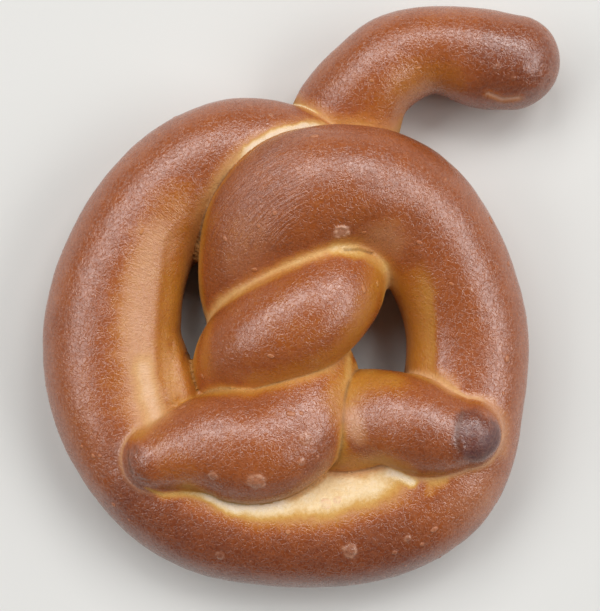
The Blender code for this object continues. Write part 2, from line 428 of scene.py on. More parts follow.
class Rope:
    """A stretch of dough: rows of its centre line, with half width and half height."""

    def __init__(self, rows):
        self.rows = rows
        self.along = unit(np.gradient(rows[:, :3], axis=0))
        self.sideways = unit(np.cross(self.along, UP))
        self.upwards = np.cross(self.sideways, self.along)
        steps = np.linalg.norm(np.diff(rows[:, :3], axis=0), axis=1)
        self.travelled = np.concatenate([[0.0], np.cumsum(steps)])

    def nearest(self, points):
        """Each point's place along the rope, as a row number with a fraction."""
        centre = self.rows[:, :3]
        last = len(centre) - 1
        row = np.argmin((centre * centre).sum(1) - 2 * points @ centre.T, axis=1)
        behind = dot(points - centre[row], self.along[row]) < 0
        low = np.clip(row - behind, 0, last - 1)
        past_low = dot(points - centre[low], self.along[low])
        to_high = dot(centre[low + 1] - points, self.along[low + 1])
        part = past_low / np.maximum(past_low + to_high, 1e-3)
        part = np.where(past_low < 0, 0.0, np.where(to_high < 0, 1.0, part))
        return np.clip(low + part, 0, last)

    def read(self, table, at):
        """The table's value at each place along the rope."""
        low = np.minimum(at.astype(int), len(table) - 2)
        part = at - low
        if table.ndim > 1:
            part = part[:, None]
        return table[low] * (1 - part) + table[low + 1] * part

    def skin(self, points):
        """How far outside the rope's skin points are, the way out, and their places along and round it."""
        at = self.nearest(points)
        row = self.read(self.rows, at)
        along = unit(self.read(self.along, at))
        sideways = unit(self.read(self.sideways, at))
        upwards = np.cross(sideways, along)
        offset = points - row[:, :3]
        side = dot(offset, sideways)
        rise = dot(offset, upwards)
        past_end = (at <= 0) | (at >= len(self.rows) - 1)
        beyond = np.where(past_end, dot(offset, along), 0.0)
        half_width = row[:, 3]
        half_height = row[:, 4]
        power = np.where(rise > 0, UPPER_POWER, LOWER_POWER)
        u = np.abs(side) / half_width
        v = np.abs(rise) / half_height
        section = np.maximum((u**power + v**power) ** (1 / power), 1e-4)
        size = np.hypot(section, beyond / half_width)
        share = section ** (2 - power) / size
        slope = (share * u ** (power - 1) * np.sign(side) / half_width)[:, None] * sideways
        slope += (share * v ** (power - 1) * np.sign(rise) / half_height)[:, None] * upwards
        slope += (beyond / half_width**2 / size)[:, None] * along
        steep = np.maximum(np.linalg.norm(slope, axis=1), 1e-4)
        round_it = np.arctan2(side, rise) * half_width
        place = np.stack([self.read(self.travelled, at) + beyond, round_it], axis=1)
        return (size - 1) / steep, slope / steep[:, None], place


def lay_ropes():
    """The ropes, and the pairs of them that are stretches of one rope."""
    main, mark = spline(TOP_UNDER + ring_stations() + TOP_LOBE, ROPE_STEP)
    first = len(TOP_UNDER)
    ropes = {
        "left_arm": Rope(main[: mark[first + 4]]),
        "ring": Rope(main[mark[first + 3] : mark[first + 9]]),
        "right_arm": Rope(main[mark[first + 8] :]),
    }
    others = {
        "middle_lobe": MIDDLE_LOBE,
        "left_end": LEFT_END,
        "right_end": RIGHT_END,
        "stem": STEM,
        "upper_web": UPPER_WEB,
        "lower_web": LOWER_WEB,
    }
    for name, stations in others.items():
        ropes[name] = Rope(spline(stations, ROPE_STEP)[0])
    return ropes, (("left_arm", "ring"), ("ring", "right_arm"))


class Dough:
    """All the ropes pressed together, and cut flat underneath."""

    def __init__(self):
        self.ropes, same = lay_ropes()
        self.names = list(self.ropes)
        count = len(self.names)
        self.apart = ~np.eye(count, dtype=bool)
        for first, second in same:
            i, j = self.names.index(first), self.names.index(second)
            self.apart[i, j] = self.apart[j, i] = False
        self.fillet = np.full((count, count), SEAM_FILLET)
        self.fusing = np.zeros((count, count), bool)
        for (first, second), width in SOFT_FILLETS.items():
            i, j = self.names.index(first), self.names.index(second)
            self.fillet[i, j] = self.fillet[j, i] = width
            self.fusing[i, j] = self.fusing[j, i] = second in ("left_end", "right_end")

    def skin(self, points):
        """Distance outside the dough, the way out, each point's own rope, the next rope that crosses it and
        the distance to it, and the place along and round its own rope."""
        found = [rope.skin(points) for rope in self.ropes.values()]
        distance = np.stack([f[0] for f in found])
        way = np.stack([f[1] for f in found])
        place = np.stack([f[2] for f in found])
        every = np.arange(len(points))
        distance[self.names.index("ring")] += RING_GIVES_WAY
        own = np.argmin(distance, axis=0)
        others = np.where(self.apart[own].T, distance, np.inf)
        other = np.argmin(others, axis=0)
        near = distance[own, every]
        gap = others[other, every]
        fillet = self.fillet[own, other]
        fused = smooth(FUSED_FROM, FUSED_TO, np.abs(points[:, 0]))
        fillet = np.where(self.fusing[own, other], blend(SEAM_FILLET, fillet, fused), fillet)
        share = np.clip(1 - (gap - near) / fillet, 0, 1)
        out = near - share**2 * fillet / 4
        normal = way[own, every] * (1 - share / 2)[:, None] + way[other, every] * (share / 2)[:, None]
        below = -points[:, 2]
        share = np.clip(1 - np.abs(out - below) / FLOOR_FILLET, 0, 1)
        weight = np.where(below > out, 1 - share / 2, share / 2)[:, None]
        out = np.maximum(out, below) + share**2 * FLOOR_FILLET / 4
        normal = normal * (1 - weight) - UP * weight
        return out, normal, own, other, gap, place[own, every]

    def settle(self, points, steps):
        """The points moved straight onto the dough's skin."""
        for _ in range(steps):
            out, normal = self.skin(points)[:2]
            size = np.maximum(dot(normal, normal), 0.1)
            points = points - normal * (np.clip(out, -LONGEST_STEP, LONGEST_STEP) / size)[:, None]
        return points


def section(half_width, half_height):
    """(sideways, upwards) corners of a rope's section."""
    corners = []
    for k in range(ROPE_SIDES):
        turn = 2 * math.pi * k / ROPE_SIDES
        side, rise = math.cos(turn), math.sin(turn)
        power = 2 / (UPPER_POWER if rise > 0 else LOWER_POWER)
        side = math.copysign(abs(side) ** power, side)
        rise = math.copysign(abs(rise) ** power, rise)
        corners.append((half_width * side, half_height * rise))
    return np.array(corners)


def add_tube(mesh, rope):
    """A closed tube of the rope in a bmesh, with round ends."""
    last = len(rope.rows) - 1
    turns = [math.pi / 2 * k / END_RINGS for k in range(1, END_RINGS)]
    places = [(0, -math.sin(t), math.cos(t)) for t in reversed(turns)]
    places += [(i, 0.0, 1.0) for i in range(last + 1)]
    places += [(last, math.sin(t), math.cos(t)) for t in turns]
    rings = []
    for i, reach, size in places:
        centre = rope.rows[i, :3] + rope.along[i] * reach * rope.rows[i, 3]
        corners = section(*(rope.rows[i, 3:] * size))
        around = centre + corners[:, :1] * rope.sideways[i] + corners[:, 1:] * rope.upwards[i]
        rings.append([mesh.verts.new(p * MM) for p in around])
    for first, second in zip(rings, rings[1:]):
        for k in range(ROPE_SIDES):
            after = (k + 1) % ROPE_SIDES
            mesh.faces.new((first[k], first[after], second[after], second[k]))
    for ring, i, way in ((rings[0], 0, -1.0), (rings[-1], last, 1.0)):
        tip = mesh.verts.new((rope.rows[i, :3] + rope.along[i] * way * rope.rows[i, 3]) * MM)
        for k in range(ROPE_SIDES):
            mesh.faces.new((ring[k], ring[(k + 1) % ROPE_SIDES], tip))


def mesh_object(name, mesh):
    data = bpy.data.meshes.new(name)
    mesh.to_mesh(data)
    mesh.free()
    obj = bpy.data.objects.new(name, data)
    bpy.context.scene.collection.objects.link(obj)
    return obj


def apply_modifiers(obj):
    """The object's modifiers made part of its mesh."""
    bpy.context.view_layer.update()
    graph = bpy.context.evaluated_depsgraph_get()
    result = bpy.data.meshes.new_from_object(obj.evaluated_get(graph))
    obj.modifiers.clear()
    obj.data = result


def drop_inner_skins(mesh):
    """Leaves the outer skin alone."""
    waiting = set(mesh.verts)
    skins = []
    while waiting:
        skin = [waiting.pop()]
        for corner in skin:
            for edge in corner.link_edges:
                other = edge.other_vert(corner)
                if other in waiting:
                    waiting.remove(other)
                    skin.append(other)
        skins.append(skin)
    for skin in sorted(skins, key=len)[:-1]:
        bmesh.ops.delete(mesh, geom=skin, context="VERTS")


def corners_of(data):
    flat = np.empty(len(data.vertices) * 3, np.float32)
    data.vertices.foreach_get("co", flat)
    return flat.reshape(-1, 3).astype(float) / MM


def set_corners(data, points):
    data.vertices.foreach_set("co", (points * MM).astype(np.float32).ravel())
    data.update()


def relax(data, points):
    """Each point moved halfway to the middle of its neighbours."""
    edges = np.empty(len(data.edges) * 2, np.int32)
    data.edges.foreach_get("vertices", edges)
    edges = edges.reshape(-1, 2)
    ends = np.concatenate([edges[:, 0], edges[:, 1]])
    others = np.concatenate([edges[:, 1], edges[:, 0]])
    count = np.bincount(ends, minlength=len(points))
    middle = np.stack([np.bincount(ends, points[others, k], len(points)) for k in range(3)], axis=1)
    return points + 0.5 * (middle / count[:, None] - points)


def rough_dough(dough):
    """The tubes of all the ropes melted into one even mesh that lies on the dough's skin."""
    mesh = bmesh.new()
    for rope in dough.ropes.values():
        add_tube(mesh, rope)
    bmesh.ops.recalc_face_normals(mesh, faces=mesh.faces)
    obj = mesh_object("baked_pretzel", mesh)
    remesh = obj.modifiers.new("even", "REMESH")
    remesh.mode = "VOXEL"
    remesh.voxel_size = VOXEL * MM
    apply_modifiers(obj)
    mesh = bmesh.new()
    mesh.from_mesh(obj.data)
    drop_inner_skins(mesh)
    mesh.to_mesh(obj.data)
    mesh.free()
    points = dough.settle(corners_of(obj.data), SETTLING_STEPS)
    for _ in range(2):
        points = dough.settle(relax(obj.data, points), 1)
    set_corners(obj.data, points)
    return obj


def refine(obj, dough, chosen):
    """The faces among the chosen corners cut in four."""
    mesh = bmesh.new()
    mesh.from_mesh(obj.data)
    edges = [e for e in mesh.edges if chosen[e.verts[0].index] and chosen[e.verts[1].index]]
    bmesh.ops.subdivide_edges(mesh, edges=edges, cuts=1, use_grid_fill=True)
    bmesh.ops.triangulate(mesh, faces=[f for f in mesh.faces if len(f.verts) > 4])
    mesh.to_mesh(obj.data)
    mesh.free()
    points = dough.settle(corners_of(obj.data), 2)
    points = dough.settle(relax(obj.data, points), 2)
    set_corners(obj.data, points)
    return points


def dropper(data):
    """Puts places that are seen from above down on the skin, filling in long gaps between them."""
    tree = BVHTree.FromPolygons([v.co for v in data.vertices], [p.vertices for p in data.polygons])

    def drop(places):
        places = np.array(places, float)
        steps = [places[:1]]
        for start, end in zip(places, places[1:]):
            count = max(1, round(np.linalg.norm(end - start) / DROP_STEP))
            steps.append(start + (end - start) * np.linspace(0, 1, count + 1)[1:, None])
        found = []
        for x, y in np.concatenate(steps):
            hit = tree.ray_cast(Vector((x, y, 100)) * MM, Vector((0, 0, -1)))[0]
            found.append(np.array(hit) / MM)
        return np.array(found)

    return drop


def to_line(points, line):
    """Distance from the points to a line."""
    best = np.linalg.norm(points - line[0], axis=1)
    for start, end in zip(line, line[1:]):
        step = end - start
        part = np.clip((points - start) @ step / (step @ step), 0, 1)
        best = np.minimum(best, np.linalg.norm(points - start - part[:, None] * step, axis=1))
    return best


def beside_line(points, line):
    """Distance from a line that is seen from above, more than 0 on its left, and the nearest part of it."""
    flat = points[:, :2]
    line = np.array(line, float)
    best = np.full(len(flat), np.inf)
    signed = np.zeros(len(flat))
    part_of_it = np.zeros(len(flat))
    for k, (start, end) in enumerate(zip(line, line[1:])):
        step = end - start
        part = np.clip((flat - start) @ step / (step @ step), 0, 1)
        gap = flat - start - part[:, None] * step
        distance = np.linalg.norm(gap, axis=1)
        closer = distance < best
        side = np.sign(step[0] * gap[:, 1] - step[1] * gap[:, 0])
        best = np.where(closer, distance, best)
        signed = np.where(closer, distance * side, signed)
        part_of_it = np.where(closer, (k + part) / (len(line) - 1), part_of_it)
    return signed, part_of_it


def openness(dough, points, normals):
    """1 where a point looks out freely, down to 0 deep between ropes."""
    total = np.zeros(len(points))
    reaches = (2.5, 6.0, 12.0)
    for reach in reaches:
        out = dough.skin(points + normals * reach)[0]
        total += np.clip(out / reach, 0, 1)
    return total / len(reaches)


class Skin:
    """What the baked skin is like at each corner of the mesh."""

    def __init__(self, dough, points, drop):
        self.points = points
        self.drop = drop
        self.names = dough.names
        normal, self.own, self.other, self.gap, self.place = dough.skin(points)[1:]
        self.normal = unit(normal)
        self.facing = self.normal[:, 2]
        self.height = points[:, 2]
        self.open_air = openness(dough, points, self.normal)
        self.lift, self.thin, self.painted_shade = np.zeros((3, len(points)))

    def on(self, *names):
        return np.isin(self.own, [self.names.index(n) for n in names])

    def distance_from(self, places):
        """Distance from the line over the skin through places that are seen from above."""
        return to_line(self.points, self.drop(places))

    def tint(self, brown, share):
        self.brown = blend(self.brown, brown, share)

    def make_thin_skin_and_sheen(self, thin):
        self.thin = np.maximum(self.thin, thin)

    def paint_shade(self, painted_shade):
        self.painted_shade = np.maximum(self.painted_shade, painted_shade)

    def bake(self):
        """The browning before any mark, with painted shade and painted sheen: deep walls, seams and the
        underside stay paler.
        """
        levels = np.array([BROWN[n] for n in self.names])
        self.brown = levels[self.own] + drift(self.points, BROWN_DRIFT)
        shut_in = smooth(0.92, 0.45, self.open_air) * smooth(0.75, 0.25, self.facing)
        self.tint(WALL_BROWN, shut_in)
        left = self.on("left_arm", "ring", "upper_web", "lower_web")
        wall = self.shoulder(LEFT_SHOULDER, left, 1, 0.5, 2.0)
        wall = wall + self.shoulder(RIGHT_SHOULDER, self.on("right_arm"), -1, 0.3, 1.0)
        self.pale_band()
        ragged = 1 + drift(self.points, EDGE_DRIFT)
        self.seams(ragged)
        for places, radius, edge, brown, share in PATCHES:
            away = self.distance_from(places) * ragged
            share = share * smooth(radius + edge, radius, away)
            self.tint(brown, share)
            if brown < RAW_BROWN:
                self.thin = self.thin * (1 - share)
        # Stretched skin, and painted highlights and sheen, as paler, pinker patches.
        for places, radius, edge, brown, thin in STRETCHED_AND_SHEEN:
            away = self.distance_from(places) * ragged
            share = smooth(radius + edge, radius, away) * (1 - 0.9 * wall)
            self.tint(brown, share)
            self.make_thin_skin_and_sheen(thin * share)
        self.tear(ragged)
        self.paint_shade_in_deep_places()
        low = smooth(9.0, 2.0, self.height) * smooth(0.2, -0.4, self.facing)
        self.tint(LOW_SIDE_BROWN, 0.6 * low)
        self.underside = smooth(-0.6, -0.95, self.facing) * smooth(0.6, 0.2, self.height)
        self.tint(UNDERSIDE_BROWN + 0.05 * ripple(self.points, 6.0, 3), self.underside)

    def shoulder(self, line, here, side, step, soft):
        """Inside the line the arm turns to a paler wall, with a low step at its edge."""
        signed, part = beside_line(self.points, line)
        inside = signed * side + 0.4 * ripple(self.points, 4.0, 16)
        edge = soft + 4.0 * smooth(0.50, 0.0, part)
        wall = smooth(-edge, edge, inside) * here * smooth(0.0, 0.45, part)
        wall = wall * smooth(22.0, 16.0, inside) * smooth(-0.5, -0.1, self.facing)
        self.tint(blend(WALL_BROWN, DEEP_WALL_BROWN, smooth(0.0, 7.0, inside)), 0.95 * wall)
        fall = smooth(-0.6, 2.2, inside) * smooth(13.0, 4.0, inside)
        reach = smooth(0.02, 0.2, part) * smooth(0.98, 0.8, part) * here
        self.lift += step * (0.35 * hump(inside + 0.4, 1.0) - fall) * reach
        return wall

    def pale_band(self):
        """Below the two ends the ring was covered while it rose, and stayed the colour of dough."""
        inside, part = beside_line(self.points, BAND_EDGE)
        here = self.on("ring", "left_arm", "right_arm") * (self.facing > 0.2)
        here = here * smooth(0.0, 0.2, part) * smooth(1.0, 0.8, part) * smooth(14.0, 10.0, inside)
        inside = inside + 0.8 * ripple(self.points, 6.0, 4)
        self.tint(BAND_EDGE_BROWN, here * smooth(-5.0, 1.0, inside))
        self.tint(BAND_BROWN, here * smooth(-0.5, 4.5, inside))
        self.crumb = here * smooth(1.0, 4.0, inside)

    def seams(self, ragged):
        for first, name in enumerate(self.names):
            for second, neighbour in enumerate(self.names):
                here = (self.own == first) & (self.other == second)
                width, brown, thin = SEAM_BANDS.get((name, neighbour), OTHER_BAND)
                share = smooth(width, 0.0, self.gap * ragged) * here
                self.tint(brown, share)
                self.make_thin_skin_and_sheen(thin * share)

    def between(self, first, second, left, right):
        """1 where the skin is the first rope's beside the second, from left to right."""
        here = (self.own == self.names.index(first)) & (self.other == self.names.index(second))
        x = self.points[:, 0]
        return here * smooth(left - 2, left + 2, x) * smooth(right + 2, right - 2, x)

    def tear(self, ragged):
        gap = self.gap * (ragged + 0.45 * ripple(self.points, 2.0, 17))
        for *seam, width in TORN:
            share = smooth(width, 0.3 * width, gap) * self.between(*seam)
            self.tint(TORN_BROWN, 0.95 * share)

    def paint_shade_in_deep_places(self):
        """Painted shade: the bottoms of the gaps, and the left end's lower face over the ring, are darkened
        and dulled.
        """
        shut_in = smooth(0.78, 0.35, self.open_air) * smooth(0.6, 0.2, self.facing)
        shut_in = shut_in * smooth(22.0, 13.0, self.height)
        self.paint_shade(0.5 * shut_in)
        # Painted shade on the left end's lower face where it lies over the ring.
        below = self.between("left_end", "ring", -24.0, 5.0) * smooth(6.5, 0.5, self.gap)
        self.paint_shade(0.55 * below)

    def raise_blisters(self):
        wobble = 1 + 0.28 * ripple(self.points, 1.7, 5)
        broken = np.clip(0.55 + 0.9 * ripple(self.points, 1.1, 12), 0, 1)
        for x, y, radius, dome, rim, thin in BLISTERS:
            away = self.distance_from([(x, y)]) / radius * wobble
            top = np.clip(1 - away**2, 0, 1)
            ring = hump(away - 0.8, 0.2) * broken
            self.lift += dome * top**1.5 + rim * ring
            self.make_thin_skin_and_sheen(thin * np.clip(ring + 0.35 * top, 0, 1))

    def fold(self):
        for places, depth, half_width in FOLDS:
            groove = hump(self.distance_from(places), half_width)
            self.lift -= depth * groove
            # Painted shade along each fold's groove.
            self.paint_shade(min(1.0, 1.6 * depth) * groove)
        shut = np.clip(0.8 + 0.8 * ripple(self.points, 4.0, 15), 0.3, 1)
        for first, second, left, right, depth in CREASES:
            here = self.between(first, second, left, right) + self.between(second, first, left, right)
            here = here * smooth(-0.5, 0.1, self.facing) * shut
            self.lift -= depth * hump(self.gap, CREASE_HALF_WIDTH) * here
            # Painted shade along the crease.
            self.paint_shade(hump(self.gap, CREASE_SHADE_HALF_WIDTH) * here)
        away = self.distance_from(SCAR)
        self.lift -= SCAR_DEPTH * hump(away, SCAR_HALF_WIDTH)
        self.tint(SCAR_BROWN, 0.7 * smooth(2.8, 0.4, away))
        self.make_thin_skin_and_sheen(hump(away, 0.5))

    def wrinkle_tips(self):
        """The dark tips dried while they baked."""
        for x, y, reach in DRY_TIPS:
            here = smooth(reach, reach * 0.6, self.distance_from([(x, y)]))
            some = here > 0
            ridges = 1 - 2.4 * np.abs(ripple(self.points[some], 1.9, 6))
            ridges += 0.6 * ripple(self.points[some], 0.9, 7)
            self.lift[some] += WRINKLE_HEIGHT * here[some] * ridges

    def ruffle(self):
        """The dough's own unevenness, and the crumb that shows in the pale band."""
        self.lift += drift(self.points, DOUGH_DRIFT)
        self.lift += 0.05 * self.crumb * ripple(self.points, 1.3, 10)

    def shape(self):
        """The mesh's corners with the relief on them, except where the pretzel stands on the floor."""
        standing = smooth(0.3, 2.5, self.height)
        points = self.points + self.normal * (self.lift * standing)[:, None]
        points[:, 2] = np.maximum(points[:, 2], 0)
        return points


def set_attribute(data, name, values):
    kind, slot = ("FLOAT", "value") if values.ndim == 1 else ("FLOAT_VECTOR", "vector")
    data.attributes.new(name, kind, "POINT").data.foreach_set(slot, values.astype(np.float32).ravel())


def make_pretzel(dough):
    obj = rough_dough(dough)
    drop = dropper(obj.data)
    marks = [(drop([(x, y)]), radius + MARK_REACH) for x, y, radius, *_ in BLISTERS]
    marks += [(drop(places), 2 * half_width + MARK_REACH) for places, _, half_width in FOLDS]
    marks.append((drop(SCAR), SCAR_REACH))

    def refine_near(points, reach, height):
        """Finer faces at the marks, and within reach of a seam above the height."""
        chosen = (dough.skin(points)[4] < reach) & (points[:, 2] > height)
        for line, mark_reach in marks:
            chosen |= to_line(points, line) < mark_reach
        return refine(obj, dough, chosen)

    points = refine_near(corners_of(obj.data), SEAM_REACH, SEAM_ABOVE)
    points = refine_near(points, CREASE_REACH, CREASE_ABOVE)
    skin = Skin(dough, points, drop)
    skin.bake()
    skin.raise_blisters()
    skin.fold()
    skin.wrinkle_tips()
    skin.ruffle()
    set_corners(obj.data, skin.shape())
    x, y, _ = points.T
    crosswise = skin.on("left_arm") * smooth(35.0, 20.0, y) * smooth(-50.0, -42.0, x)
    found = {
        "brown": np.clip(skin.brown, 0, 1),
        "thin_skin_and_sheen": np.clip(skin.thin, 0, 1),
        "painted_shade": np.clip(skin.painted_shade, 0, 1),
        "underside": skin.underside,
        "lengthwise": skin.on("right_arm") * smooth(6.0, -8.0, x) * smooth(5.0, 15.0, y),
        "crosswise": crosswise * smooth(-34.0, -26.0, y),
        "rope_place": np.column_stack([skin.place, skin.own * ROPES_APART]),
    }
    for name, values in found.items():
        set_attribute(obj.data, name, values)
    obj.data.shade_smooth()
    return obj


class Board:
    """Adds nodes to a tree and joins them."""

    def __init__(self, tree):
        self.tree = tree

    def fill(self, node, values):
        """A node's inputs by name or number: a value, or the output that feeds it."""
        for name, value in values.items():
            if isinstance(value, bpy.types.NodeSocket):
                self.tree.links.new(value, node.inputs[name])
            else:
                node.inputs[name].default_value = value

    def add(self, kind, values=None, **settings):
        node = self.tree.nodes.new(kind)
        for name, value in settings.items():
            setattr(node, name, value)
        self.fill(node, values or {})
        return node

    def math(self, operation, first, second=0.0, third=0.0):
        values = {0: first, 1: second, 2: third}
        return self.add("ShaderNodeMath", values, operation=operation).outputs[0]

    def times(self, first, second):
        return self.math("MULTIPLY", first, second)

    def total(self, first, *others, clamp=False):
        """All of them added up, and kept between 0 and 1 where it is clamped."""
        for other in others:
            first = self.math("ADD", first, other)
        first.node.use_clamp = clamp
        return first

    def mix(self, share, first, second):
        """The first colour, turned to the second by the share."""
        values = {"Factor": share, 6: first, 7: second}
        return self.add("ShaderNodeMix", values, data_type="RGBA").outputs[2]

    def bump(self, height, strength, distance):
        values = {"Height": height, "Strength": strength, "Distance": distance}
        return self.add("ShaderNodeBump", values).outputs["Normal"]

    def group(self, tree, values):
        return self.add("ShaderNodeGroup", values, node_tree=tree).outputs

    def attribute(self, name, output="Fac"):
        return self.add("ShaderNodeAttribute", attribute_name=name).outputs[output]

    def noise(self, vector, scale, detail=2.0, roughness=0.5, distortion=0.0):
        values = {"Vector": vector, "Scale": scale, "Detail": detail, "Roughness": roughness}
        values["Distortion"] = distortion
        return self.add("ShaderNodeTexNoise", values).outputs["Fac"]

    def range(self, value, low, high, to_low=0.0, to_high=1.0):
        values = {"Value": value, "From Min": low, "From Max": high, "To Min": to_low, "To Max": to_high}
        return self.add("ShaderNodeMapRange", values, interpolation_type="SMOOTHSTEP").outputs["Result"]

    def stretched(self, vector, scale):
        return self.add("ShaderNodeVectorMath", {0: vector, 1: scale}, operation="MULTIPLY").outputs[0]


def new_group(name, inputs, outputs):
    """An empty shader group: its board, its input node's sockets and its output node."""
    tree = bpy.data.node_groups.new(name, "ShaderNodeTree")
    for label, kind in inputs:
        tree.interface.new_socket(name=label, in_out="INPUT", socket_type=kind)
    for label, kind in outputs:
        tree.interface.new_socket(name=label, in_out="OUTPUT", socket_type=kind)
    board = Board(tree)
    return board, board.add("NodeGroupInput").outputs, board.add("NodeGroupOutput")


def new_material(name):
    """A material, its board and its shader."""
    material = bpy.data.materials.new(name)
    material.use_nodes = True
    return material, Board(material.node_tree), material.node_tree.nodes["Principled BSDF"]


VALUE = "NodeSocketFloat"
VECTOR = "NodeSocketVector"
COLOUR = "NodeSocketColor"
GEOMETRY = "NodeSocketGeometry"

# How brown, and the colour of the skin there.
BAKED_COLOURS = (
    (0.00, (0.90, 0.74, 0.54)),
    (0.12, (0.84, 0.62, 0.33)),
    (0.28, (0.62, 0.33, 0.060)),
    (0.42, (0.52, 0.205, 0.006)),
    (0.55, (0.45, 0.135, 0.007)),
    (0.70, (0.35, 0.084, 0.016)),
    (0.82, (0.24, 0.054, 0.014)),
    (1.00, (0.085, 0.012, 0.010)),
)
# The colour of thin, stretched skin, also used for painted sheen and highlights.
THIN_SKIN_AND_SHEEN = (0.82, 0.47, 0.31, 1.0)
# The colour that painted shade in creases and deep gaps turns the skin towards.
PAINTED_SHADE_COLOUR = (0.10, 0.040, 0.009, 1.0)

# What the smallest blisters' tree is given. Lengths are in metres.
BLISTER_INPUTS = (
    ("Skin", GEOMETRY, None),
    ("Count per square metre", VALUE, 9000.0),
    ("Closest", VALUE, 2.0 * MM),
    ("Smallest radius", VALUE, 0.22 * MM),
    ("Largest radius", VALUE, 0.80 * MM),
    ("Flatness", VALUE, 0.24),
    ("Paler by", VALUE, 0.04),
    ("Seed", "NodeSocketInt", 11),
    ("Material", "NodeSocketMaterial", None),
)


def baked_colour_group():
    board, given, output = new_group("baked_colour", (("Brown", VALUE),), (("Colour", COLOUR),))
    ramp = board.add("ShaderNodeValToRGB", {"Fac": given["Brown"]})
    stops = ramp.color_ramp.elements
    stops[0].position = BAKED_COLOURS[0][0]
    stops[1].position = BAKED_COLOURS[-1][0]
    for position, _ in BAKED_COLOURS[1:-1]:
        stops.new(position)
    for stop, (_, colour) in zip(stops, BAKED_COLOURS):
        stop.color = (*colour, 1)
    board.fill(output, {"Colour": ramp.outputs["Color"]})
    return board.tree


def skin_grain_group():
    """Fine curly crinkles of a dried, glossy skin, and the light and dark flecks in it."""
    inputs = (("Place", VECTOR), ("Crinkle scale", VALUE), ("Fleck scale", VALUE))
    outputs = (("Height", VALUE), ("Curls", VALUE), ("Mottle", VALUE), ("Fleck", VALUE))
    board, given, output = new_group("skin_grain", inputs, outputs)
    place = given["Place"]
    crinkle = board.noise(place, given["Crinkle scale"], 1.5, 0.5, 0.7)
    ridge = board.math("ABSOLUTE", board.math("SUBTRACT", crinkle, 0.5))
    curls = board.range(ridge, 0.0, 0.12, 1.0, 0.0)
    coarse = board.noise(place, 420.0, 3.0, 0.55, 0.4)
    broad = board.noise(place, 70.0, 3.0)
    values = {
        "Height": board.total(board.times(curls, 0.20), board.times(crinkle, 0.5), board.times(coarse, 0.6)),
        "Curls": curls,
        "Mottle": board.total(broad, board.noise(place, 260.0, 3.0, 0.6), -1.0),
        "Fleck": board.noise(place, given["Fleck scale"], 2.0, 0.6, 0.5),
    }
    board.fill(output, values)
    return board.tree


def add_grain(board, skin_grain, crinkle_scale, fleck_scale):
    place = board.add("ShaderNodeTexCoord").outputs["Object"]
    values = {"Place": place, "Crinkle scale": crinkle_scale, "Fleck scale": fleck_scale}
    return board.group(skin_grain, values)


def crust(baked_colour, skin_grain):
    """The browned, lightly glossy crust."""
    material, board, shader = new_material("crust")
    brown = board.attribute("brown")
    painted_shade = board.attribute("painted_shade")
    grain = add_grain(board, skin_grain, 980.0, 1100.0)
    mottle = grain["Mottle"]
    curls = board.times(grain["Curls"], board.range(brown, 0.30, 0.62))
    rope_place = board.attribute("rope_place", "Vector")
    along = board.noise(board.stretched(rope_place, (0.16, 1.5, 1.0)), 1.0, 3.0, 0.6, 0.3)
    across = board.noise(board.stretched(rope_place, (2.0, 0.35, 1.0)), 1.0, 3.0, 0.6, 0.8)
    along = board.times(board.math("SUBTRACT", along, 0.5), board.attribute("lengthwise"))
    across = board.times(board.math("SUBTRACT", across, 0.5), board.attribute("crosswise"))
    marks = board.total(along, board.times(across, 0.5))

    fleck = board.range(grain["Fleck"], 0.30, 0.70, 0.03, -0.03)
    amount = board.total(board.times(mottle, 0.10), board.times(marks, 0.28), fleck)
    baked = board.group(baked_colour, {"Brown": board.total(brown, amount, clamp=True)})
    # Thin skin and painted sheen make the colour paler and pinker; the curls are a little paler too, as
    # painted glints.
    thin = board.times(board.attribute("thin_skin_and_sheen"), 0.75)
    thin = board.total(thin, board.times(curls, 0.07), clamp=True)
    colour = board.mix(thin, baked["Colour"], THIN_SKIN_AND_SHEEN)
    rough = board.total(
        board.range(brown, 0.30, 0.64, 0.76, 0.29),
        board.times(board.attribute("underside"), 0.25),
        board.times(painted_shade, 0.4),
        board.range(brown, 0.88, 0.98, 0.0, 0.26),
        board.times(curls, -0.07),
        board.times(mottle, 0.15),
        clamp=True,
    )
    height = board.total(grain["Height"], board.times(marks, 1.7))
    # Painted shade darkens the base colour in creases and deep gaps, and dulls it.
    values = {
        "Base Color": board.mix(board.times(painted_shade, 0.8), colour, PAINTED_SHADE_COLOUR),
        "Roughness": rough,
        "Normal": board.bump(height, 0.7, 0.34 * MM),
        "Specular IOR Level": 1.0,
        "IOR": 1.53,
    }
    board.fill(shader, values)
    return material


def blister_skin(baked_colour, skin_grain):
    """The thin, paler skin of the smallest blisters."""
    material, board, shader = new_material("blister_skin")
    grain = add_grain(board, skin_grain, 2400.0, 1500.0)
    brown = board.total(board.attribute("brown"), board.times(grain["Mottle"], 0.12))
    baked = board.group(baked_colour, {"Brown": brown})
    thin = board.range(grain["Fleck"], 0.3, 0.7, 0.05, 0.30)
    values = {
        "Base Color": board.mix(thin, baked["Colour"], THIN_SKIN_AND_SHEEN),
        "Roughness": board.range(grain["Fleck"], 0.3, 0.7, 0.30, 0.42),
        "Normal": board.bump(grain["Height"], 0.4, 0.06 * MM),
        "Specular IOR Level": 0.6,
    }
    board.fill(shader, values)
    return material


